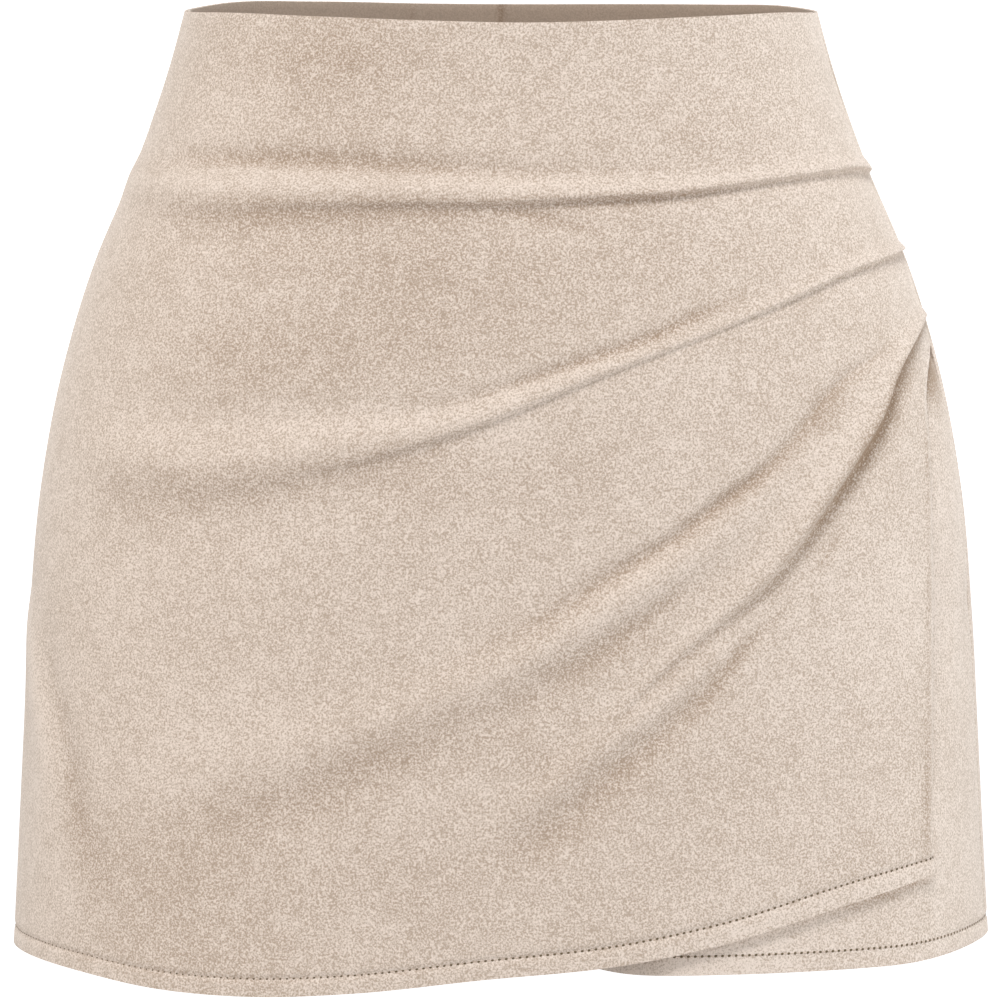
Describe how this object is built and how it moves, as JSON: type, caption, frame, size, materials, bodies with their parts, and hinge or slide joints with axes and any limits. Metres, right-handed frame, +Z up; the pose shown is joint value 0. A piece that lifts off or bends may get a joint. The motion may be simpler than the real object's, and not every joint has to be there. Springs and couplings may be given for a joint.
{
  "type": "wrap skort",
  "caption": "Hollow high-waisted mini skort in faux suede, filled out as worn: a draped front panel with side tucks wraps over fitted shorts.",
  "frame": {"origin": "centre of the waist opening, level with the waist's edge at the sides", "axes": "+Z up out of the waist, -Y to the front of the garment, +X to the wearer's left, where the wrap's free edge hangs"},
  "size_m": [0.3906, 0.2549, 0.3837],
  "materials": {
    "wrap_suede": "matte brushed faux suede, warm beige",
    "shorts_suede": "matte brushed faux suede, warm beige"
  },
  "bodies": {
    "root": {"wrap_front": "wrap_suede", "shorts_front_left": "shorts_suede", "shorts_front_right": "shorts_suede", "shorts_back_left": "shorts_suede", "shorts_back_right": "shorts_suede"}
  },
  "joints": []
}
